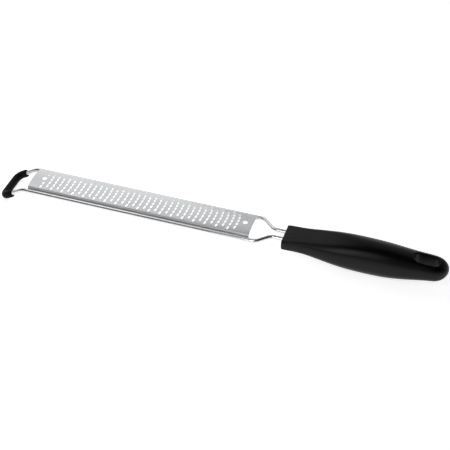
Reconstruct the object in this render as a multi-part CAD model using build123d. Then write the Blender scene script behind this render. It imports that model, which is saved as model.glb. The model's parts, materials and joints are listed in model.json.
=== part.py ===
from build123d import *
import math
import os

# Rasp zester. A long, slightly arched stainless blade with rows of raised teeth lies between the two
# runs of a bent wire frame, and its two turned-down lips are welded to them. The frame is one wire:
# its closed end bends down at the tip and wears a rubber foot, and its two ends draw in behind the
# blade and run on inside the handle.
# +X points to the handle, +Y to the back and +Z up. The origin is the middle of the footprint,
# on the surface that the zester rests on. Lengths are in millimetres, angles in degrees.

# Layout along the length
blade_length = 200.0
tip_reach = 27.7  # from the blade's tip end out to the foot's outermost point
neck_reach = 27.0  # from the blade's other end to the handle's front face
handle_length = 136.4

# Wire frame
wire_diameter = 4.0
wire_spacing = 29.1  # between the two runs beside the blade, centre to centre
neck_spacing = 9.2  # between the two runs that enter the handle, centre to centre
neck_bend_reach = 6.0  # from the blade's end to where the wires start to draw in
neck_draw = 10.8  # length along X over which they draw in
neck_bend_radius = 8.0
tip_drop = 12.1  # from the long runs down to the closed end
tip_bend_reach = 3.9  # from the blade's tip end to where the wires bend down
tip_bend_radius = 12.5
tip_corner_radius = 5.5
tail_depth = 72.0  # length of wire inside the handle
key_length = 6.0  # length of the flats pressed into each wire's end, which key it in the plastic
key_depth = 0.5

# Rubber foot
foot_diameter = 6.8
foot_leg_cover = 5.5  # length of each leg that the foot covers, from the corner's bend
foot_edge_chamfer = 0.6

# Blade
sheet_thickness = 0.4
crown_rise = 5.2  # from the wires' centres up to the middle of the arched top
crown_radius = 45.0
lip_drop = 0.5  # how far the lips reach below the wires' centres
lip_bend_radius = 1.1
weld_sink = 0.1  # how far the weld lets each lip into the wire

# Teeth and slots
row_pitch = 5.0
row_arc_radius = 38.0
tip_row_inset = 12.3  # from the blade's tip end to the middle of the first row
neck_row_margin = 12.0  # least room from the last row's middle to the blade's other end
slot_pitch = 3.87
slot_side_margin = 1.3  # least sheet between a row's outermost slots and the lips' outer faces
slot_length = 3.2
slot_width = 1.2
tooth_height = 0.4
tooth_length = 2.0
tooth_root = 0.15  # how far each tooth's ramp starts below the sheet's face

# Round holes in the blade's ends
hole_diameter = 4.0
tip_hole_inset = 10.4
neck_hole_inset = 6.8
hole_clearance = 1.0

# Weld beads
weld_size = 1.4  # width of each bead, and its depth beside the wire
weld_throat = 0.5  # depth of each bead under the lip's inner face
weld_length = 4.0
welds_each_side = 6
weld_end_inset = 8.0

# Handle
handle_width = 28.9
handle_rise = 12.1  # top of the handle's fullest part above the wires
handle_nose_length = 13.4
handle_nose_rise = 1.0  # height of the tail's tip above the wires
front_edge_radius = 0.8
hang_hole_length = 20.5
hang_hole_width = 11.0
hang_hole_inset = 18.4  # from the tail's tip to the hole's middle

# One overrun serves every cut
overrun = 3.0

# The handle's sections: place along its length, half width, rise above the wires, depth below
# them, corner radius, and how far each side bows out. The shares are of the handle's length, half
# its width, its rise, the wires' height, the section's smaller half and the side's own half size.
handle_section_shares = (
    (0.000, 0.80, 0.256, 0.394, 0.33, 0.03),
    (0.073, 0.805, 0.36, 0.41, 0.44, 0.05),
    (0.169, 0.84, 0.51, 0.494, 0.60, 0.07),
    (0.271, 0.945, 0.70, 0.668, 0.74, 0.09),
    (0.389, 1.00, 0.90, 0.872, 0.80, 0.10),
    (0.535, 0.97, 1.00, 0.994, 0.82, 0.10),
    (0.652, 0.93, 0.953, 0.966, 0.82, 0.10),
    (0.755, 0.855, 0.827, 0.812, 0.80, 0.10),
    (0.836, 0.80, 0.737, 0.637, 0.78, 0.10),
    (0.902, 0.765, 0.686, 0.51, 0.78, 0.10),
)
handle_nose_shares = (0.45, 0.75, 0.93)

# Worked out from the sizes above
overall_length = tip_reach + blade_length + neck_reach + handle_length
tip_x = -overall_length / 2
blade_start_x = tip_x + tip_reach
blade_end_x = blade_start_x + blade_length
handle_start_x = blade_end_x + neck_reach
tail_x = handle_start_x + handle_length
wire_radius = wire_diameter / 2
foot_radius = foot_diameter / 2
crossbar_x = tip_x + foot_radius
crossbar_z = foot_radius
wire_z = crossbar_z + tip_drop
lip_foot_z = wire_z - lip_drop
crown_z = wire_z + crown_rise
crown_middle_z = crown_z - crown_radius
blade_half_width = wire_spacing / 2 - wire_radius + weld_sink
lip_inner_y = blade_half_width - sheet_thickness
row_count = 1 + int((blade_length - tip_row_inset - neck_row_margin) / row_pitch)
slot_centres_width = 2 * (blade_half_width - slot_side_margin) - slot_length
slots_in_wide_row = 1 + int(slot_centres_width / slot_pitch)
tip_bend_x = blade_start_x - tip_bend_reach
neck_bend_x = blade_end_x + neck_bend_reach


def wire_centreline():
    """The frame's path, from one end inside the handle round the tip to the other."""
    outer_y = wire_spacing / 2
    inner_y = neck_spacing / 2
    draw_end_x = neck_bend_x + neck_draw
    tail_end_x = handle_start_x + tail_depth
    front_half = [
        (tail_end_x, -inner_y, wire_z),
        (draw_end_x, -inner_y, wire_z),
        (neck_bend_x, -outer_y, wire_z),
        (tip_bend_x, -outer_y, wire_z),
        (crossbar_x, -outer_y, crossbar_z),
    ]
    back_half = [(x, -y, z) for x, y, z in reversed(front_half)]
    side_radii = [neck_bend_radius, neck_bend_radius, tip_bend_radius, tip_corner_radius]
    return FilletPolyline(*front_half, *back_half, radius=side_radii + side_radii[::-1])


def tube(path, diameter):
    """A round bar along a path, without a bore."""
    start = path @ 0
    section = Plane(origin=start, z_dir=path % 0) * Circle(diameter / 2)
    return sweep(section, path=path)


def make_wire_frame(path):
    """One bent wire, with flats pressed into its two ends."""
    bar = tube(path, wire_diameter)
    key_x = handle_start_x + tail_depth - key_length / 2
    for side in (-1, 1):
        for face in (-1, 1):
            z = wire_z + face * (wire_diameter - key_depth)
            cutter = Box(key_length, wire_diameter + overrun, wire_diameter)
            bar -= Pos(key_x, side * neck_spacing / 2, z) * cutter
    return bar


def foot_path():
    """The stretch of the frame that the foot covers: the closed end and part of both legs."""
    outer_y = wire_spacing / 2
    leg = Vector(tip_bend_x - crossbar_x, 0, wire_z - crossbar_z).normalized()
    reach = tip_corner_radius + foot_leg_cover
    front_end = Vector(crossbar_x, -outer_y, crossbar_z) + leg * reach
    back_end = Vector(crossbar_x, outer_y, crossbar_z) + leg * reach
    corners = [(crossbar_x, -outer_y, crossbar_z), (crossbar_x, outer_y, crossbar_z)]
    return FilletPolyline(front_end, *corners, back_end, radius=tip_corner_radius)


def make_foot(wire):
    """A rubber sleeve over the frame's closed end, with softened end faces."""
    path = foot_path()
    sleeve = tube(path, foot_diameter)
    end_faces = [sleeve.faces().sort_by_distance(path @ end)[0] for end in (0, 1)]
    end_edges = [edge for face in end_faces for edge in face.edges()]
    return chamfer(end_edges, foot_edge_chamfer) - wire


def row_places():
    """Each slot's x, y and turn: rows lie on arcs, and every other row is one slot short."""
    places = []
    first_row_x = blade_start_x + tip_row_inset
    tip_hole_x = blade_start_x + tip_hole_inset
    keep_clear = hole_diameter / 2 + hole_clearance + slot_length / 2
    for row in range(row_count):
        count = slots_in_wide_row - row % 2
        for slot in range(count):
            y = (slot - (count - 1) / 2) * slot_pitch
            sag = row_arc_radius - math.sqrt(row_arc_radius ** 2 - y ** 2)
            x = first_row_x + row * row_pitch - sag
            if math.hypot(x - tip_hole_x, y) > keep_clear:
                places.append((x, y, math.degrees(math.asin(y / row_arc_radius))))
    return places


def wedge(length, width):
    """A ramp that rises towards +X, where it ends over the slot's edge."""
    outline = Polyline((-length, -tooth_root), (0, -tooth_root), (0, tooth_height), close=True)
    side = Plane.XZ * make_face(outline)
    return extrude(side, width / 2, both=True)


def arched_section(half_width, radius, bend_radius):
    """The area under an arch, down to the lips' feet, with its two upper corners rounded."""
    corner_z = crown_middle_z + math.sqrt(radius ** 2 - half_width ** 2)
    arch = ThreePointArc((-half_width, corner_z), (0, crown_middle_z + radius), (half_width, corner_z))
    sides = Polyline(arch @ 1, (half_width, lip_foot_z), (-half_width, lip_foot_z), arch @ 0)
    face = make_face([arch, sides])
    return fillet(face.vertices().group_by(Axis.Y)[-1], bend_radius)


def make_blade(wire):
    """An arched channel of sheet, pierced by slots, with a tooth along one edge of each."""
    outer = arched_section(blade_half_width, crown_radius, lip_bend_radius)
    inner_bend_radius = lip_bend_radius - sheet_thickness
    inner = arched_section(lip_inner_y, crown_radius - sheet_thickness, inner_bend_radius)
    start = Plane(origin=(blade_start_x, 0, 0), x_dir=(0, 1, 0), z_dir=(1, 0, 0))
    sheet = extrude(start * (outer - inner), blade_length)
    sheet -= wire

    tooth = wedge(tooth_length, slot_length)
    slot = Box(slot_width, slot_length, sheet_thickness + overrun)
    edge_shift = -slot_width / 2
    teeth = []
    openings = []
    for x, y, turn in row_places():
        lean = math.degrees(math.asin(y / crown_radius))
        top_z = crown_middle_z + math.sqrt(crown_radius ** 2 - y ** 2)
        at = Pos(x, y, top_z) * Rot(-lean, 0, 0) * Rot(0, 0, turn)
        teeth.append(at * Pos(edge_shift, 0, 0) * tooth)
        openings.append(at * slot)
    hole = Cylinder(hole_diameter / 2, sheet_thickness + overrun)
    openings.append(Pos(blade_start_x + tip_hole_inset, 0, crown_z) * hole)
    openings.append(Pos(blade_end_x - neck_hole_inset, 0, crown_z) * hole)
    return sheet.fuse(*teeth).cut(*openings)


def make_weld_beads(wire):
    """Small beads along the lips' feet, in the corner that each makes with its wire."""
    beads = []
    first_x = blade_start_x + weld_end_inset - weld_length / 2
    step = (blade_length - 2 * weld_end_inset) / (welds_each_side - 1)
    for side in (-1, 1):
        inner_top = Vector(side * lip_inner_y, lip_foot_z)
        inner_foot = inner_top - Vector(0, weld_throat)
        outer_top = inner_top + Vector(side * weld_size, 0)
        outer_foot = outer_top - Vector(0, weld_size)
        face = make_face(Polyline(inner_top, outer_top, outer_foot, inner_foot, close=True))
        for index in range(welds_each_side):
            start = Plane(origin=(first_x + index * step, 0, 0), x_dir=(0, 1, 0), z_dir=(1, 0, 0))
            beads.append(extrude(start * face, weld_length) - wire)
    return Compound(children=beads)


def handle_section(x, half_width, top_z, bottom_z, corner_share, bow_share):
    """A rounded oblong across the handle whose four sides bow out a little."""
    half_height = (top_z - bottom_z) / 2
    side_y = half_width * (1 - bow_share)
    side_z = half_height * (1 - bow_share)
    corners = [(side_y, side_z), (-side_y, side_z), (-side_y, -side_z), (side_y, -side_z)]
    middles = [(0, half_height), (-half_width, 0), (0, -half_height), (half_width, 0)]
    sides = [ThreePointArc(corners[i], middles[i], corners[(i + 1) % 4]) for i in range(4)]
    face = make_face(sides)
    radius = corner_share * min(half_width, half_height)
    face = fillet(face.vertices(), radius)
    at = Plane(origin=(x, 0, (top_z + bottom_z) / 2), x_dir=(0, 1, 0), z_dir=(1, 0, 0))
    return at * face


def make_handle(wire):
    """A moulded grip, lofted from its flat front to its round tail, with a hanging hole."""
    half_width = handle_width / 2
    nose_x = tail_x - handle_nose_length
    nose_z = wire_z + handle_nose_rise
    sections = []
    for along, width, rise, depth, corner, bow in handle_section_shares:
        x = handle_start_x + along * handle_length
        top_z = wire_z + rise * handle_rise
        bottom_z = wire_z - depth * wire_z
        sections.append(handle_section(x, width * half_width, top_z, bottom_z, corner, bow))
    last_width = handle_section_shares[-1][1] * half_width
    for along in handle_nose_shares:
        shrink = math.sqrt(1 - along ** 2)
        x = nose_x + along * handle_nose_length
        top = nose_z + (top_z - nose_z) * shrink
        bottom = nose_z + (bottom_z - nose_z) * shrink
        sections.append(handle_section(x, last_width * shrink, top, bottom, corner, bow))
    body = loft(sections + [Vertex(tail_x, 0, nose_z)])
    front = body.faces().sort_by(Axis.X)[0]
    body = fillet(front.edges(), front_edge_radius)
    hang = SlotOverall(hang_hole_length, hang_hole_width)
    hang_cut = extrude(Pos(tail_x - hang_hole_inset, 0, -overrun) * hang, wire_z + handle_rise + 2 * overrun)
    body -= hang_cut
    return body - wire


wire_path = wire_centreline()
wire_frame = make_wire_frame(wire_path)
parts = {
    "wire_frame": wire_frame,
    "blade": make_blade(wire_frame),
    "weld_beads": make_weld_beads(wire_frame),
    "foot": make_foot(wire_frame),
    "handle": make_handle(wire_frame),
}

os.makedirs("parts", exist_ok=True)
for name, shape in parts.items():
    export_step(shape, f"parts/{name}.step")
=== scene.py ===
import json
import math

import bmesh
import bpy
from mathutils import Matrix, Vector

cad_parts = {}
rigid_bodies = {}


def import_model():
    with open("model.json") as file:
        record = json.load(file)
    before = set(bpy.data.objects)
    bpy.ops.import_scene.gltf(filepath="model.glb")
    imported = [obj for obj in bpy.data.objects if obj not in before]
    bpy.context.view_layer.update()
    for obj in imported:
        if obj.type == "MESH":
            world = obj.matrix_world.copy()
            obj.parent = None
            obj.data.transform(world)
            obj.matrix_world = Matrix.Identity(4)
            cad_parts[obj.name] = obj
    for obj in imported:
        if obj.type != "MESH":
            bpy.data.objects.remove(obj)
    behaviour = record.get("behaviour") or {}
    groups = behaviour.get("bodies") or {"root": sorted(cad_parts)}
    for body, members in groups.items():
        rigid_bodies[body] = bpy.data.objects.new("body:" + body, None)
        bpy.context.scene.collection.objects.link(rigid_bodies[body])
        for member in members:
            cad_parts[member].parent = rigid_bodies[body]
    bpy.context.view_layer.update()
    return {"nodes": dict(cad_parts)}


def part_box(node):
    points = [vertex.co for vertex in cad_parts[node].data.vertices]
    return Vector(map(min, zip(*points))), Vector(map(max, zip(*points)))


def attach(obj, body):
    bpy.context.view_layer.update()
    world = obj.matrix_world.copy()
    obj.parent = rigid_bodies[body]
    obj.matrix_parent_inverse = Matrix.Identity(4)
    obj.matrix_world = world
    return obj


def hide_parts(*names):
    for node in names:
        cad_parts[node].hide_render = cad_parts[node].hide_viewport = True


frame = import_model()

# Rasp zester on a pale studio floor. Lengths are in metres and angles in radians unless a name
# says otherwise. +X points to the handle, +Y to the back and +Z up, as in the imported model.
MM = 0.001
ORIGIN = (0, 0, 0)
WHITE = (1, 1, 1, 1)

# The photograph's view: a camera fitted to the blade's edges, the wires and the handle's outline
VIEW_AZIMUTH = math.radians(18.38)
VIEW_ELEVATION = math.radians(41.72)
VIEW_DISTANCE = 942.4 * MM
VIEW_RIGHT_OF_BLADE = 71.57 * MM
VIEW_BELOW_BLADE = 17.87 * MM
FOCAL_PIXELS = 1105.0
PHOTO_PIXELS = 450
SENSOR_WIDTH_MM = 36.0

# Blade
SHEET_THICKNESS = 0.4 * MM
CROWN_RADIUS = 45.0 * MM
LIP_BEND_RADIUS = 1.1 * MM
FOLD_STEPS = 6
END_STEPS = 5
ROW_COUNT = 36
ROW_PITCH = 5.0 * MM
ROW_SHIFT = -0.2 * MM
ROW_ARC_RADIUS = 38.0 * MM
SLOT_PITCH = 3.87 * MM
SLOTS_IN_WIDE_ROW = 6
SLOT_LENGTH = 3.2 * MM
SLOT_WIDTH = 1.2 * MM
SLOT_MARGIN = 0.25 * MM
TOOTH_HEIGHT = 0.4 * MM
TOOTH_LENGTH = 1.6 * MM
TILE_SIDE_STEPS = 2
HOLE_RADIUS = 2.0 * MM
HOLE_DRILL_LENGTH = 3.2 * MM
TIP_HOLE_INSET = 10.4 * MM
NECK_HOLE_INSET = 6.8 * MM

# Shares that round a slot's end, and the tooth's rise beside it
SLOT_SIDE_SHARE = 0.60
SLOT_CORNER_LENGTH_SHARE = 0.93
SLOT_CORNER_WIDTH_SHARE = 0.62
TOOTH_SIDE_RISE_SHARE = 0.86
TOOTH_CORNER_RISE_SHARE = 0.35

# Shares that round the line where the raised sheet meets the flat
MARGIN_CORNER_LENGTH_SHARE = 0.96
MARGIN_CORNER_WIDTH_SHARE = 0.75
RAMP_START_WIDTH_SHARE = 1.4
RAMP_CORNER_LENGTH_SHARE = 0.86
RAMP_CORNER_SIDE_SHARE = 1.15

# Wire frame and foot
WIRE_RADIUS = 2.0 * MM
WIRE_SPACING = 29.1 * MM
NECK_SPACING = 9.2 * MM
NECK_BEND_REACH = 6.0 * MM
NECK_DRAW = 10.8 * MM
NECK_BEND_RADIUS = 8.0 * MM
TIP_BEND_REACH = 3.9 * MM
TIP_BEND_RADIUS = 12.5 * MM
TIP_CORNER_RADIUS = 5.5 * MM
FOOT_RADIUS = 3.4 * MM
FOOT_LEG_COVER = 5.5 * MM
FOOT_EDGE_RADIUS = 1.25 * MM
FOOT_EDGE_STEPS = 5
FOOT_RIM_ANGLE = math.radians(60)
BAR_SIDES = 32
BEND_STEPS = 14

# Handle
HANDLE_VOXEL = 0.5 * MM
HANDLE_SMOOTHING = 10
HANDLE_SMOOTHING_SHARE = 0.5

# Weld beads
WELDS_EACH_SIDE = 6
WELD_LENGTH = 4.0 * MM
WELD_END_INSET = 8.0 * MM
RIPPLES_IN_WELD = 7
RIPPLE_RADIUS = 0.62 * MM
RIPPLE_BESIDE_LIP = 0.15 * MM
RIPPLE_UNDER_LIP = 0.42 * MM
RIPPLE_SIDES = 10
RIPPLE_RINGS = 6

# Meshes
MERGE_DISTANCE = 0.002 * MM
SHARP_ANGLE = math.radians(38)

# Studio
FLOOR_HALF_WIDTH = 3.0
FLOOR_COLOUR = (0.92, 0.92, 0.92, 1)
FLOOR_ROUGHNESS = 0.9
FLOOR_GLOW = 0.74
WALL_BRIGHTNESS = 0.60
CEILING_BRIGHTNESS = 0.02
ROOM_FADE_HEIGHT = math.radians(42)
GRIP_FRONT_AIM = 20.0 * MM

# Light panels: width and height, the middle's place, and how bright the face is, where 1 is white
BACK_PANEL = {"size": (0.44, 0.46), "place": (-0.225, 0.20, 0.25), "radiance": 0.88}
OVER_PANEL = {"size": (0.44, 0.30), "place": (-0.28, -0.05, 0.60), "radiance": 0.65}
FRONT_PANEL = {"size": (0.13, 0.28), "place": (0.03, -0.27, 0.28), "radiance": 3.0}
REAR_PANEL = {"size": (0.44, 0.50), "place": (0.12, 1.0, 0.46), "radiance": 1.3}

blade_low, blade_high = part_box("blade")
wire_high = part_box("wire_frame")[1]
foot_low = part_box("foot")[0]
handle_low, handle_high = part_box("handle")
bead_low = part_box("weld_beads")[0]
blade_middle_x = (blade_low.x + blade_high.x) / 2
blade_half_width = blade_high.y
crown_middle_z = blade_high.z - TOOTH_HEIGHT - CROWN_RADIUS
wire_z = wire_high.z - WIRE_RADIUS


def arch_z(y):
    """Height of the blade's arched top at a distance from its middle line."""
    return crown_middle_z + math.sqrt(CROWN_RADIUS ** 2 - y ** 2)


def arc_sag(y):
    """How far a row's arc falls back towards the tip at a distance from the middle line."""
    return ROW_ARC_RADIUS - math.sqrt(ROW_ARC_RADIUS ** 2 - y ** 2)


# Objects and meshes

def in_scene(name, data):
    """A new object at the origin with the given data."""
    made = bpy.data.objects.new(name, data)
    bpy.context.scene.collection.objects.link(made)
    return made


def mesh_object(name, points, faces=(), edges=()):
    """A new object from points, faces and loose edges."""
    mesh = bpy.data.meshes.new(name)
    mesh.from_pydata([tuple(point) for point in points], edges, faces)
    mesh.update()
    return in_scene(name, mesh)


def baked(piece):
    """Turns what an object's modifiers make into its plain mesh, and removes the modifiers."""
    depsgraph = bpy.context.evaluated_depsgraph_get()
    mesh = bpy.data.meshes.new_from_object(piece.evaluated_get(depsgraph), depsgraph=depsgraph)
    mesh.name = piece.name
    piece.modifiers.clear()
    piece.data = mesh
    return piece


def clean_normals(piece):
    """Merges doubles and turns every face outwards."""
    edit = bmesh.new()
    edit.from_mesh(piece.data)
    bmesh.ops.remove_doubles(edit, verts=edit.verts, dist=MERGE_DISTANCE)
    bmesh.ops.recalc_face_normals(edit, faces=edit.faces)
    edit.to_mesh(piece.data)
    edit.free()
    return piece


def shade(piece):
    """Smooth faces, with sharp edges where two faces meet at a clear angle."""
    piece.data.shade_smooth()
    piece.data.set_sharp_from_angle(angle=SHARP_ANGLE)
    return piece


# Node trees

def add_node(tree, kind, links=(), **settings):
    """A node in a tree, with its settings and with (input, source or value) pairs."""
    node = tree.nodes.new(kind)
    for key, value in settings.items():
        setattr(node, key, value)
    for key, source in links:
        if isinstance(source, bpy.types.NodeSocket):
            tree.links.new(source, node.inputs[key])
        else:
            node.inputs[key].default_value = source
    return node


class Shaper:
    """A Geometry Nodes tree under construction, with short calls for its nodes and links."""

    def __init__(self, name, inputs):
        self.group = bpy.data.node_groups.new(name, "GeometryNodeTree")
        sockets = self.group.interface
        sockets.new_socket("Geometry", in_out="OUTPUT", socket_type="NodeSocketGeometry")
        sockets.new_socket("Geometry", in_out="INPUT", socket_type="NodeSocketGeometry")
        self.ids = {}
        for label, kind in inputs:
            made = sockets.new_socket(label, in_out="INPUT", socket_type=kind)
            self.ids[label] = made.identifier
        self.given = self.group.nodes.new("NodeGroupInput").outputs
        self.out = self.group.nodes.new("NodeGroupOutput").inputs

    def add(self, kind, links=(), **settings):
        """A node of the tree."""
        return add_node(self.group, kind, links, **settings)

    def math(self, operation, a, b=0.0):
        """The result of a sum on one number or two."""
        return self.add("ShaderNodeMath", [(0, a), (1, b)], operation=operation).outputs[0]

    def position(self):
        """The X, Y and Z of each point."""
        place = self.add("GeometryNodeInputPosition").outputs[0]
        return self.add("ShaderNodeSeparateXYZ", [(0, place)]).outputs

    def joined(self, *parts):
        """All parts as one geometry."""
        join = self.add("GeometryNodeJoinGeometry")
        for part in parts:
            self.group.links.new(part, join.inputs[0])
        return join.outputs[0]

    def on_points(self, points, instance, chosen=True):
        """Copies of an instance on the chosen points."""
        return self.add("GeometryNodeInstanceOnPoints", [
            ("Points", points), ("Instance", instance), ("Selection", chosen),
        ]).outputs[0]

    def realized(self, instances):
        """Instances as real geometry."""
        return self.add("GeometryNodeRealizeInstances", [(0, instances)]).outputs[0]

    def finish(self, geometry):
        """Realizes, gives the material and sets the result."""
        links = [(0, self.realized(geometry)), ("Material", self.given["Material"])]
        done = self.add("GeometryNodeSetMaterial", links)
        self.group.links.new(done.outputs[0], self.out[0])
        return self

    def apply(self, piece, values):
        """Puts the tree on an object with its input values, and bakes the result."""
        modifier = piece.modifiers.new(self.group.name, "NODES")
        modifier.node_group = self.group
        for label, value in values.items():
            modifier[self.ids[label]] = value
        return baked(piece)


# Blade

def half_slot_tile(name, side):
    """Half of one slot's cell: sheet round the slot, raised into a scooped tooth on the tip side.

    The tile's middle is the origin, and the slot's own middle lies half a tile away in -side.
    Each ring runs round the slot from its handle side to its tip side, as places along the
    blade, across it from the slot's middle, and up."""
    tile_width = SLOT_PITCH / 2
    half_row = ROW_PITCH / 2
    half_slot = SLOT_WIDTH / 2
    half_length = SLOT_LENGTH / 2
    slot_side = half_length * SLOT_SIDE_SHARE
    slot_corner = half_length * SLOT_CORNER_LENGTH_SHARE
    corner_half_width = half_slot * SLOT_CORNER_WIDTH_SHARE
    slot_ring = [
        (half_slot, 0, 0),
        (half_slot, slot_side, 0),
        (corner_half_width, slot_corner, 0),
        (0, half_length, 0),
        (-corner_half_width, slot_corner, TOOTH_HEIGHT * TOOTH_CORNER_RISE_SHARE),
        (-half_slot, slot_side, TOOTH_HEIGHT * TOOTH_SIDE_RISE_SHARE),
        (-half_slot, 0, TOOTH_HEIGHT),
    ]
    margin = half_slot + SLOT_MARGIN
    margin_end = half_length + SLOT_MARGIN
    ramp_end = -half_slot - TOOTH_LENGTH
    base_ring = [
        (margin, 0, 0),
        (margin, slot_side, 0),
        (margin * MARGIN_CORNER_WIDTH_SHARE, margin_end * MARGIN_CORNER_LENGTH_SHARE, 0),
        (0, margin_end, 0),
        (-half_slot * RAMP_START_WIDTH_SHARE, margin_end, 0),
        (ramp_end * RAMP_CORNER_LENGTH_SHARE, slot_side * RAMP_CORNER_SIDE_SHARE, 0),
        (ramp_end, 0, 0),
    ]
    border_ring = [
        (half_row, 0, 0),
        (half_row, tile_width / 2, 0),
        (half_row, tile_width, 0),
        (0, tile_width, 0),
        (-half_row, tile_width, 0),
        (-half_row, tile_width / 2, 0),
        (-half_row, 0, 0),
    ]
    points = []
    for drop in (0, SHEET_THICKNESS):
        for ring in (slot_ring, base_ring, border_ring):
            for along, across, up in ring:
                points.append((along, side * (across - tile_width / 2), up - drop))
    count = len(slot_ring)
    bottom = len(points) // 2
    faces = []
    for k in range(count - 1):
        for start in (k, count + k):
            a, b, c, d = start, start + 1, start + count + 1, start + count
            faces.append((a, d, c, b))
            faces.append((bottom + a, bottom + b, bottom + c, bottom + d))
        faces.append((k, k + 1, bottom + k + 1, bottom + k))
    if side < 0:
        faces = [face[::-1] for face in faces]
    return mesh_object(name, points, faces)


def plain_half_tile(name):
    """The same half cell without a slot."""
    tile_width = SLOT_PITCH / 2
    alongs = (-ROW_PITCH / 2, 0, ROW_PITCH / 2)
    acrosses = (-tile_width / 2, 0, tile_width / 2)
    points = []
    for drop in (0, SHEET_THICKNESS):
        points += [(along, across, -drop) for along in alongs for across in acrosses]
    line = len(acrosses)
    bottom = len(points) // 2
    faces = []
    for i in range(TILE_SIDE_STEPS):
        for j in range(TILE_SIDE_STEPS):
            a = line * i + j
            b = a + line
            faces.append((a, b, b + 1, a + 1))
            faces.append((bottom + a, bottom + a + 1, bottom + b + 1, bottom + b))
    return mesh_object(name, points, faces)


def blade_section():
    """Outer and inner points of one side, from the slots' field over the fold down to the lip."""
    field_y = SLOT_PITCH * SLOTS_IN_WIDE_ROW / 2
    fold_y = blade_half_width - LIP_BEND_RADIUS
    fold_reach = CROWN_RADIUS - LIP_BEND_RADIUS
    fold_z = crown_middle_z + math.sqrt(fold_reach ** 2 - fold_y ** 2)
    first = math.asin(fold_y / fold_reach)
    outer = [(field_y, arch_z(field_y))]
    inner = [(field_y, arch_z(field_y) - SHEET_THICKNESS)]
    for step in range(FOLD_STEPS + 1):
        angle = first + (math.pi / 2 - first) * step / FOLD_STEPS
        for line, radius in ((outer, LIP_BEND_RADIUS), (inner, LIP_BEND_RADIUS - SHEET_THICKNESS)):
            line.append((fold_y + radius * math.sin(angle), fold_z + radius * math.cos(angle)))
    outer.append((blade_half_width, blade_low.z))
    inner.append((blade_half_width - SHEET_THICKNESS, blade_low.z))
    return outer, inner


def blade_stations(field_start, field_end):
    """Places along the blade, each with its share of the rows' sag: none at the plain ends."""
    stations = []
    for step in range(END_STEPS):
        share = step / END_STEPS
        stations.append((blade_low.x + (field_start - blade_low.x) * share, share))
    field_steps = TILE_SIDE_STEPS * ROW_COUNT
    for step in range(field_steps + 1):
        stations.append((field_start + (field_end - field_start) * step / field_steps, 1.0))
    for step in range(1, END_STEPS + 1):
        share = step / END_STEPS
        stations.append((field_end + (blade_high.x - field_end) * share, 1 - share))
    return stations


def blade_surround(name, field_start, field_end):
    """The sheet round the slots' field: two plain ends, two folds and two lips."""
    outer, inner = blade_section()
    stations = blade_stations(field_start, field_end)
    field_y = outer[0][0]
    points = []
    faces = []

    def strip(rows, turned):
        """Faces between neighbouring lists of point numbers."""
        for first, second in zip(rows, rows[1:]):
            for a, b, c, d in zip(first, second, second[1:], first[1:]):
                faces.append((a, b, c, d) if turned else (a, d, c, b))

    def add(row):
        """Adds a row of points and gives their numbers."""
        start = len(points)
        points.extend(row)
        return list(range(start, len(points)))

    loop = outer + inner[::-1]
    sag = arc_sag(field_y)
    for side in (1, -1):
        rows = [add([(x - share * sag, side * y, z) for y, z in loop]) for x, share in stations]
        strip(rows, side > 0)
        for row in (rows[0], rows[-1]):
            for k in range(len(outer) - 1):
                faces.append((row[k], row[k + 1], row[-2 - k], row[-1 - k]))
    steps = 2 * TILE_SIDE_STEPS * SLOTS_IN_WIDE_ROW
    ys = [-field_y + 2 * field_y * step / steps for step in range(steps + 1)]
    for end_stations, outermost in ((stations[:END_STEPS + 1], 0), (stations[-END_STEPS - 1:], -1)):
        rims = []
        for drop in (0, SHEET_THICKNESS):
            rows = []
            for x, share in end_stations:
                rows.append(add([(x - share * arc_sag(y), y, arch_z(y) - drop) for y in ys]))
            strip(rows, drop == 0)
            rims.append(rows[outermost])
        strip(rims, True)
    return mesh_object(name, points, faces)


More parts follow.
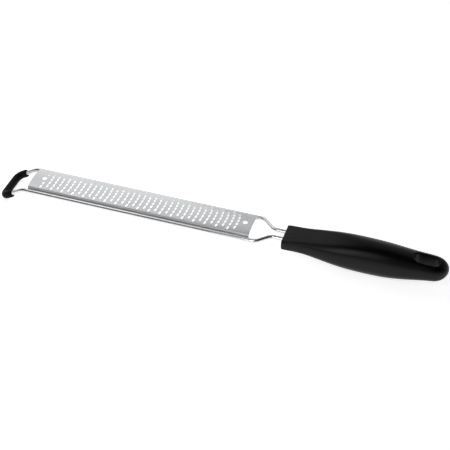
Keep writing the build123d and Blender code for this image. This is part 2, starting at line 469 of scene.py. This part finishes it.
def tiled_field(shaper):
    """A flat field of half tiles in rows. Odd rows are one slot short, so that the rows stagger,
    and the first row has no slots by the tip's round hole."""
    given = shaper.given
    last_row = shaper.math("SUBTRACT", given["Rows"], 1.0)
    last_cell = shaper.math("SUBTRACT", given["Half cells"], 1.0)
    grid = shaper.add("GeometryNodeMeshGrid", [
        ("Size X", shaper.math("MULTIPLY", last_row, given["Row pitch"])),
        ("Size Y", shaper.math("MULTIPLY", last_cell, given["Half pitch"])),
        ("Vertices X", given["Rows"]),
        ("Vertices Y", given["Half cells"]),
    ]).outputs["Mesh"]
    place = shaper.position()

    def number(coordinate, pitch, last):
        """Counts along one side of the grid from 0."""
        steps = shaper.math("DIVIDE", coordinate, pitch)
        return shaper.math("ROUND", shaper.math("ADD", steps, shaper.math("MULTIPLY", last, 0.5)))

    row = number(place["X"], given["Row pitch"], last_row)
    cell = number(place["Y"], given["Half pitch"], last_cell)
    odd_row = shaper.math("MODULO", row, 2.0)
    from_side = shaper.math("MINIMUM", cell, shaper.math("SUBTRACT", last_cell, cell))
    at_side = shaper.math("LESS_THAN", from_side, 0.5)
    short_end = shaper.math("MULTIPLY", odd_row, at_side)
    cells_off = shaper.math("DIVIDE", shaper.math("ABSOLUTE", place["Y"]), given["Half pitch"])
    near_middle = shaper.math("LESS_THAN", cells_off, 2.0)
    first_row = shaper.math("LESS_THAN", row, 0.5)
    by_hole = shaper.math("MULTIPLY", first_row, near_middle)
    plain = shaper.math("GREATER_THAN", shaper.math("ADD", short_end, by_hole), 0.5)
    slotted = shaper.math("SUBTRACT", 1.0, plain)
    plus = shaper.math("MODULO", shaper.math("ADD", cell, odd_row), 2.0)
    minus = shaper.math("SUBTRACT", 1.0, plus)
    choices = (
        ("Slot half plus", shaper.math("MULTIPLY", plus, slotted)),
        ("Slot half minus", shaper.math("MULTIPLY", minus, slotted)),
        ("Plain half", plain),
    )
    tiles = []
    for label, chosen in choices:
        tile = shaper.add("GeometryNodeObjectInfo", [("Object", given[label])])
        tiles.append(shaper.on_points(grid, tile.outputs["Geometry"], chosen))
    return shaper.realized(shaper.joined(*tiles))


def bent_field(shaper, field):
    """Bends the flat field's rows to their arcs, and the field to the crown."""
    given = shaper.given
    place = shaper.position()
    y_squared = shaper.math("MULTIPLY", place["Y"], place["Y"])

    def circle_height(radius):
        """Height of a circle over its middle, at each point's distance from the middle line."""
        squared = shaper.math("MULTIPLY", radius, radius)
        return shaper.math("SQRT", shaper.math("SUBTRACT", squared, y_squared))

    row_arc = given["Row arc radius"]
    sag = shaper.math("SUBTRACT", row_arc, circle_height(row_arc))
    x = shaper.math("SUBTRACT", shaper.math("ADD", place["X"], given["Field middle"]), sag)
    crown = circle_height(given["Crown radius"])
    arch = shaper.math("ADD", crown, given["Crown middle height"])
    z = shaper.math("ADD", place["Z"], arch)
    bent = shaper.add("ShaderNodeCombineXYZ", [("X", x), ("Y", place["Y"]), ("Z", z)]).outputs[0]
    return shaper.add("GeometryNodeSetPosition", [(0, field), ("Position", bent)]).outputs[0]


def drilled(shaper, sheet):
    """Cuts the two round holes."""
    given = shaper.given
    drill = shaper.add("GeometryNodeMeshCylinder", [
        ("Vertices", given["Hole sides"]),
        ("Radius", given["Hole radius"]),
        ("Depth", given["Drill length"]),
    ]).outputs["Mesh"]
    for hole in ("Tip hole", "Neck hole"):
        placed = shaper.add("GeometryNodeTransform", [(0, drill), ("Translation", given[hole])])
        links = [("Mesh 1", sheet), ("Mesh 2", placed.outputs[0])]
        settings = {"operation": "DIFFERENCE", "solver": "EXACT"}
        sheet = shaper.add("GeometryNodeMeshBoolean", links, **settings).outputs["Mesh"]
    return sheet


def blade_shaper():
    """Makes the field of slots, joins it to the sheet round it and drills the round holes."""
    shaper = Shaper("toothed_blade", [
        ("Slot half plus", "NodeSocketObject"),
        ("Slot half minus", "NodeSocketObject"),
        ("Plain half", "NodeSocketObject"),
        ("Rows", "NodeSocketInt"),
        ("Half cells", "NodeSocketInt"),
        ("Row pitch", "NodeSocketFloat"),
        ("Half pitch", "NodeSocketFloat"),
        ("Field middle", "NodeSocketFloat"),
        ("Row arc radius", "NodeSocketFloat"),
        ("Crown radius", "NodeSocketFloat"),
        ("Crown middle height", "NodeSocketFloat"),
        ("Hole sides", "NodeSocketInt"),
        ("Hole radius", "NodeSocketFloat"),
        ("Drill length", "NodeSocketFloat"),
        ("Tip hole", "NodeSocketVector"),
        ("Neck hole", "NodeSocketVector"),
        ("Merge distance", "NodeSocketFloat"),
        ("Material", "NodeSocketMaterial"),
    ])
    field = bent_field(shaper, tiled_field(shaper))
    whole = shaper.joined(field, shaper.given["Geometry"])
    links = [("Geometry", whole), ("Distance", shaper.given["Merge distance"])]
    sheet = shaper.add("GeometryNodeMergeByDistance", links).outputs[0]
    return shaper.finish(drilled(shaper, sheet))


def make_blade(material):
    """The arched sheet with its lips, its rows of raised slots and its two round holes."""
    field_middle = blade_middle_x + ROW_SHIFT
    field_start = field_middle - ROW_COUNT * ROW_PITCH / 2
    field_end = field_middle + ROW_COUNT * ROW_PITCH / 2
    blade = blade_surround("toothed_blade", field_start, field_end)
    tiles = {
        "Slot half plus": half_slot_tile("slot_half_plus", 1),
        "Slot half minus": half_slot_tile("slot_half_minus", -1),
        "Plain half": plain_half_tile("plain_half"),
    }
    blade_shaper().apply(blade, {
        **tiles,
        "Rows": ROW_COUNT,
        "Half cells": 2 * SLOTS_IN_WIDE_ROW,
        "Row pitch": ROW_PITCH,
        "Half pitch": SLOT_PITCH / 2,
        "Field middle": field_middle,
        "Row arc radius": ROW_ARC_RADIUS,
        "Crown radius": CROWN_RADIUS,
        "Crown middle height": crown_middle_z,
        "Hole sides": BAR_SIDES,
        "Hole radius": HOLE_RADIUS,
        "Drill length": HOLE_DRILL_LENGTH,
        "Tip hole": (blade_low.x + TIP_HOLE_INSET, 0, arch_z(0)),
        "Neck hole": (blade_high.x - NECK_HOLE_INSET, 0, arch_z(0)),
        "Merge distance": MERGE_DISTANCE,
        "Material": material,
    })
    for tile in tiles.values():
        bpy.data.objects.remove(tile)
    return shade(clean_normals(blade))


# Wire frame and foot

def bar_shaper():
    """A round bar along a line of points, with a bend of its own radius at each point."""
    shaper = Shaper("bar_along_path", [
        ("Radius", "NodeSocketFloat"),
        ("Sides", "NodeSocketInt"),
        ("Bend steps", "NodeSocketInt"),
        ("Material", "NodeSocketMaterial"),
    ])
    given = shaper.given
    bends = shaper.add("GeometryNodeInputNamedAttribute", [
        ("Name", "bend_radius"),
    ], data_type="FLOAT")
    line = shaper.add("GeometryNodeMeshToCurve", [(0, given["Geometry"])])
    path = shaper.add("GeometryNodeFilletCurve", [
        ("Curve", line.outputs[0]),
        ("Count", given["Bend steps"]),
        ("Radius", bends.outputs["Attribute"]),
    ], mode="POLY")
    ring = shaper.add("GeometryNodeCurvePrimitiveCircle", [
        ("Resolution", given["Sides"]), ("Radius", given["Radius"]),
    ])
    bar = shaper.add("GeometryNodeCurveToMesh", [
        ("Curve", path.outputs[0]), ("Profile Curve", ring.outputs[0]), ("Fill Caps", True),
    ])
    return shaper.finish(bar.outputs[0])


def bar(name, shaper, route, radius, material):
    """A bar from (point, bend radius) pairs."""
    points = [point for point, bend in route]
    edges = [(k, k + 1) for k in range(len(points) - 1)]
    piece = mesh_object(name, points, edges=edges)
    bends = piece.data.attributes.new("bend_radius", "FLOAT", "POINT")
    bends.data.foreach_set("value", [bend for point, bend in route])
    shaper.apply(piece, {
        "Radius": radius,
        "Sides": BAR_SIDES,
        "Bend steps": BEND_STEPS,
        "Material": material,
    })
    return clean_normals(piece)


def frame_route():
    """The wire's corners, from one end inside the handle round the tip to the other."""
    outer_y = WIRE_SPACING / 2
    inner_y = NECK_SPACING / 2
    neck_x = blade_high.x + NECK_BEND_REACH
    tip_x = blade_low.x - TIP_BEND_REACH
    crossbar_x = foot_low.x + FOOT_RADIUS
    crossbar_z = foot_low.z + FOOT_RADIUS
    front = [
        (Vector((wire_high.x, -inner_y, wire_z)), 0.0),
        (Vector((neck_x + NECK_DRAW, -inner_y, wire_z)), NECK_BEND_RADIUS),
        (Vector((neck_x, -outer_y, wire_z)), NECK_BEND_RADIUS),
        (Vector((tip_x, -outer_y, wire_z)), TIP_BEND_RADIUS),
        (Vector((crossbar_x, -outer_y, crossbar_z)), TIP_CORNER_RADIUS),
    ]
    back = [(Vector((point.x, -point.y, point.z)), bend) for point, bend in front[::-1]]
    return front + back


def foot_route():
    """The stretch of the wire's route that the foot covers."""
    corners = [point for point, bend in frame_route()]
    middle = len(corners) // 2
    tip_front, corner_front, corner_back, tip_back = corners[middle - 2:middle + 2]
    cover = TIP_CORNER_RADIUS + FOOT_LEG_COVER
    front_end = corner_front + (tip_front - corner_front).normalized() * cover
    back_end = corner_back + (tip_back - corner_back).normalized() * cover
    bend = TIP_CORNER_RADIUS
    return [(front_end, 0.0), (corner_front, bend), (corner_back, bend), (back_end, 0.0)]


def make_wire_frame(shaper, material):
    """The one bent wire."""
    return shade(bar("bent_wire", shaper, frame_route(), WIRE_RADIUS, material))


def make_foot(shaper, wire, material):
    """A rubber sleeve with rounded ends, bored for the wire."""
    foot = bar("rubber_foot", shaper, foot_route(), FOOT_RADIUS, material)
    rims = foot.modifiers.new("rounded_ends", "BEVEL")
    rims.limit_method = "ANGLE"
    rims.angle_limit = FOOT_RIM_ANGLE
    rims.width = FOOT_EDGE_RADIUS
    rims.segments = FOOT_EDGE_STEPS
    bore = foot.modifiers.new("bore", "BOOLEAN")
    bore.operation = "DIFFERENCE"
    bore.solver = "EXACT"
    bore.object = wire
    return shade(clean_normals(baked(foot)))


# Weld beads

def weld_shaper():
    """Overlapping ripples of weld metal in short runs along each lip's foot."""
    shaper = Shaper("weld_runs", [
        ("Welds", "NodeSocketInt"),
        ("Weld pitch", "NodeSocketFloat"),
        ("Ripples", "NodeSocketInt"),
        ("Ripple pitch", "NodeSocketFloat"),
        ("First ripple", "NodeSocketVector"),
        ("Second side", "NodeSocketVector"),
        ("Ripple radius", "NodeSocketFloat"),
        ("Ripple sides", "NodeSocketInt"),
        ("Ripple rings", "NodeSocketInt"),
        ("Material", "NodeSocketMaterial"),
    ])
    given = shaper.given

    def along(pitch):
        """A step along the blade."""
        return shaper.add("ShaderNodeCombineXYZ", [("X", pitch)]).outputs[0]

    def repeated(part, count, step, start):
        """A part at each place of a line."""
        line = shaper.add("GeometryNodeMeshLine", [
            ("Count", count), ("Offset", step), ("Start Location", start),
        ]).outputs[0]
        return shaper.realized(shaper.on_points(line, part))

    ripple = shaper.add("GeometryNodeMeshUVSphere", [
        ("Segments", given["Ripple sides"]),
        ("Rings", given["Ripple rings"]),
        ("Radius", given["Ripple radius"]),
    ]).outputs["Mesh"]
    one_weld = repeated(ripple, given["Ripples"], along(given["Ripple pitch"]), ORIGIN)
    one_side = repeated(one_weld, given["Welds"], along(given["Weld pitch"]), given["First ripple"])
    both_sides = repeated(one_side, 2, given["Second side"], ORIGIN)
    return shaper.finish(both_sides)


def make_welds(material):
    """The beads in the corner between each lip's foot and its wire."""
    ripple_y = blade_half_width + RIPPLE_BESIDE_LIP
    ripple_z = blade_low.z - RIPPLE_UNDER_LIP
    run = blade_high.x - blade_low.x - 2 * WELD_END_INSET
    beads = mesh_object("weld_ripples", [ORIGIN])
    weld_shaper().apply(beads, {
        "Welds": WELDS_EACH_SIDE,
        "Weld pitch": run / (WELDS_EACH_SIDE - 1),
        "Ripples": RIPPLES_IN_WELD,
        "Ripple pitch": (WELD_LENGTH - 2 * RIPPLE_RADIUS) / (RIPPLES_IN_WELD - 1),
        "First ripple": (bead_low.x + RIPPLE_RADIUS, -ripple_y, ripple_z),
        "Second side": (0, 2 * ripple_y, 0),
        "Ripple radius": RIPPLE_RADIUS,
        "Ripple sides": RIPPLE_SIDES,
        "Ripple rings": RIPPLE_RINGS,
        "Material": material,
    })
    return shade(beads)


# Handle

def make_handle(material):
    """The moulded grip, remeshed finely and eased so that its rims are softly rounded."""
    handle = in_scene("moulded_grip", frame["nodes"]["handle"].data.copy())
    clean_normals(handle)
    handle.data.materials.clear()
    handle.data.materials.append(material)
    skin = handle.modifiers.new("even_skin", "REMESH")
    skin.mode = "VOXEL"
    skin.voxel_size = HANDLE_VOXEL
    ease = handle.modifiers.new("ease", "SMOOTH")
    ease.factor = HANDLE_SMOOTHING_SHARE
    ease.iterations = HANDLE_SMOOTHING
    baked(handle)
    handle.data.shade_smooth()
    return handle


# Materials

# The colour sockets of a Mix node, which shares its sockets' names with its other kinds
MIX_LOW_COLOUR = 6
MIX_HIGH_COLOUR = 7
MIX_COLOUR_RESULT = 2


class Finish:
    """A material under construction: values on its Principled shader, and patterns that vary
    its colour, its roughness and its surface."""

    def __init__(self, name, **sockets):
        self.material = bpy.data.materials.new(name)
        self.material.use_nodes = True
        self.tree = self.material.node_tree
        self.shader = self.tree.nodes["Principled BSDF"]
        for label, value in sockets.items():
            self.shader.inputs[label.replace("_", " ")].default_value = value

    def add(self, kind, links=(), **settings):
        """A node of the material."""
        return add_node(self.tree, kind, links, **settings)

    def join(self, label, source):
        """Links a pattern to one of the shader's sockets."""
        self.tree.links.new(source, self.shader.inputs[label])

    def noise(self, scale, stretch=(1, 1, 1), detail=3.0):
        """Noise with a scale in features per metre, stretched along the object's axes."""
        place = self.add("ShaderNodeTexCoord").outputs["Object"]
        laid = self.add("ShaderNodeMapping", [("Vector", place), ("Scale", stretch)]).outputs[0]
        links = [("Vector", laid), ("Scale", scale), ("Detail", detail)]
        return self.add("ShaderNodeTexNoise", links).outputs["Fac"]

    def colour(self, pattern, low, high):
        """Lets the colour run from one to another."""
        links = [("Factor", pattern), (MIX_LOW_COLOUR, (*low, 1)), (MIX_HIGH_COLOUR, (*high, 1))]
        mixed = self.add("ShaderNodeMix", links, data_type="RGBA")
        self.join("Base Color", mixed.outputs[MIX_COLOUR_RESULT])

    def roughness(self, pattern, low, high, from_low=0.0, from_high=1.0):
        """Lets the roughness run from low to high over a stretch of the pattern."""
        links = [("Value", pattern), ("From Min", from_low), ("From Max", from_high)]
        links += [("To Min", low), ("To Max", high)]
        self.join("Roughness", self.add("ShaderNodeMapRange", links).outputs[0])

    def relief(self, pattern, distance, strength):
        """Raises the surface by the pattern, in the shading only."""
        links = [("Height", pattern), ("Distance", distance), ("Strength", strength)]
        self.join("Normal", self.add("ShaderNodeBump", links).outputs[0])


def blade_steel():
    """Satin stainless sheet, brushed along its length, a little uneven."""
    steel = Finish("blade_steel", Metallic=1.0)
    brushed = steel.noise(scale=900.0, stretch=(0.06, 1, 1), detail=4.0)
    cloudy = steel.noise(scale=60.0)
    steel.colour(cloudy, low=(0.60, 0.61, 0.62), high=(0.68, 0.69, 0.70))
    steel.roughness(brushed, low=0.30, high=0.44, from_low=0.3, from_high=0.7)
    steel.relief(brushed, distance=0.01 * MM, strength=0.35)
    return steel.material


def wire_steel():
    """Bright drawn wire with faint lengthwise lines."""
    steel = Finish("wire_steel", Metallic=1.0)
    drawn = steel.noise(scale=1500.0, stretch=(0.03, 1, 1), detail=3.0)
    cloudy = steel.noise(scale=90.0)
    steel.colour(cloudy, low=(0.72, 0.72, 0.73), high=(0.82, 0.82, 0.83))
    steel.roughness(drawn, low=0.17, high=0.29, from_low=0.3, from_high=0.7)
    steel.relief(drawn, distance=0.006 * MM, strength=0.25)
    return steel.material


def weld_steel():
    """Dull, faintly straw-coloured weld metal."""
    steel = Finish("weld_steel", Metallic=1.0)
    grainy = steel.noise(scale=1800.0)
    steel.colour(grainy, low=(0.42, 0.38, 0.32), high=(0.60, 0.58, 0.55))
    steel.roughness(grainy, low=0.35, high=0.6)
    steel.relief(grainy, distance=0.05 * MM, strength=0.5)
    return steel.material


def foot_rubber():
    """Matt black rubber with a fine dusty grain."""
    rubber = Finish("foot_rubber", Specular_IOR_Level=0.12)
    grain = rubber.noise(scale=2600.0, detail=2.0)
    cloudy = rubber.noise(scale=120.0)
    rubber.colour(cloudy, low=(0.0016, 0.0016, 0.0018), high=(0.0036, 0.0036, 0.0040))
    rubber.roughness(grain, low=0.50, high=0.70)
    rubber.relief(grain, distance=0.04 * MM, strength=0.4)
    return rubber.material


def handle_plastic():
    """Black moulded plastic with a fine spark-eroded grain."""
    plastic = Finish("handle_plastic", Specular_IOR_Level=0.20)
    grain = plastic.noise(scale=2400.0, detail=2.0)
    cloudy = plastic.noise(scale=70.0)
    plastic.colour(cloudy, low=(0.0004, 0.0004, 0.0005), high=(0.0010, 0.0010, 0.0011))
    plastic.roughness(grain, low=0.28, high=0.38)
    plastic.relief(grain, distance=0.02 * MM, strength=0.2)
    return plastic.material


def floor_paint():
    """Pale matt paint with a glow that evens out the floor."""
    return Finish(
        "floor_paint", Base_Color=FLOOR_COLOUR, Roughness=FLOOR_ROUGHNESS,
        Emission_Color=WHITE, Emission_Strength=FLOOR_GLOW,
    ).material


# Studio

def make_floor():
    """The pale floor that the part lies on."""
    half = FLOOR_HALF_WIDTH
    corners = [(-half, -half, 0), (half, -half, 0), (half, half, 0), (-half, half, 0)]
    floor = mesh_object("floor", corners, [(0, 1, 2, 3)])
    floor.data.materials.append(floor_paint())


def make_camera():
    """The photograph's camera, aimed right of the blade's middle and below it in its picture."""
    level = math.cos(VIEW_ELEVATION)
    right = Vector((math.cos(VIEW_AZIMUTH), math.sin(VIEW_AZIMUTH), 0))
    ahead = Vector((-right.y * level, right.x * level, -math.sin(VIEW_ELEVATION)))
    up = right.cross(ahead)
    blade_middle = Vector((blade_middle_x, 0, wire_z))
    target = blade_middle + right * VIEW_RIGHT_OF_BLADE - up * VIEW_BELOW_BLADE
    data = bpy.data.cameras.new("camera")
    data.sensor_width = SENSOR_WIDTH_MM
    data.lens = FOCAL_PIXELS / PHOTO_PIXELS * SENSOR_WIDTH_MM
    camera = in_scene("camera", data)
    turn = Matrix((right, up, -ahead)).transposed()
    camera.matrix_world = Matrix.Translation(target - ahead * VIEW_DISTANCE) @ turn.to_4x4()
    bpy.context.scene.camera = camera


def make_room():
    """A studio that is pale round its walls and dim overhead."""
    world = bpy.data.worlds.new("studio")
    bpy.context.scene.world = world
    world.use_nodes = True
    tree = world.node_tree
    direction = add_node(tree, "ShaderNodeTexCoord").outputs["Generated"]
    height = add_node(tree, "ShaderNodeSeparateXYZ", [(0, direction)]).outputs["Z"]
    level = add_node(tree, "ShaderNodeMapRange", [
        ("Value", height),
        ("From Min", 0.0),
        ("From Max", math.sin(ROOM_FADE_HEIGHT)),
        ("To Min", WALL_BRIGHTNESS),
        ("To Max", CEILING_BRIGHTNESS),
    ], interpolation_type="SMOOTHSTEP")
    background = tree.nodes["Background"]
    background.inputs["Color"].default_value = WHITE
    tree.links.new(level.outputs[0], background.inputs["Strength"])


def soft_light(name, aim, size, place, radiance):
    """A light panel that faces its aim, with the same brightness whatever its size."""
    width, height = size
    data = bpy.data.lights.new(name, "AREA")
    data.shape = "RECTANGLE"
    data.size = width
    data.size_y = height
    data.energy = radiance * math.pi * width * height
    lamp = in_scene(name, data)
    lamp.visible_camera = False
    lamp.location = place
    lamp.rotation_euler = (aim - Vector(place)).to_track_quat("-Z", "Y").to_euler()


def make_lights():
    """Panels behind and over that the blade mirrors, and in front and far behind for the grip."""
    blade_middle = Vector((blade_middle_x, 0, wire_z))
    grip_front = Vector((handle_low.x + GRIP_FRONT_AIM, 0, wire_z))
    grip_middle = Vector(((handle_low.x + handle_high.x) / 2, 0, wire_z))
    soft_light("back_panel", blade_middle, **BACK_PANEL)
    soft_light("over_panel", blade_middle, **OVER_PANEL)
    soft_light("front_panel", grip_front, **FRONT_PANEL)
    soft_light("rear_panel", grip_middle, **REAR_PANEL)


bar_maker = bar_shaper()
wire_piece = make_wire_frame(bar_maker, wire_steel())
foot_piece = make_foot(bar_maker, wire_piece, foot_rubber())
blade_piece = make_blade(blade_steel())
handle_piece = make_handle(handle_plastic())
weld_piece = make_welds(weld_steel())
pieces = (
    (blade_piece, "blade", "blade_steel"),
    (wire_piece, "wire_frame", "wire_steel"),
    (foot_piece, "foot", "foot_rubber"),
    (handle_piece, "handle", "handle_plastic"),
    (weld_piece, "weld_beads", "weld_steel"),
)
for piece, node, slot_name in pieces:
    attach(piece, "root")
    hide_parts(node)

make_floor()
make_camera()
make_room()
make_lights()
bpy.context.scene.view_settings.view_transform = "Standard"
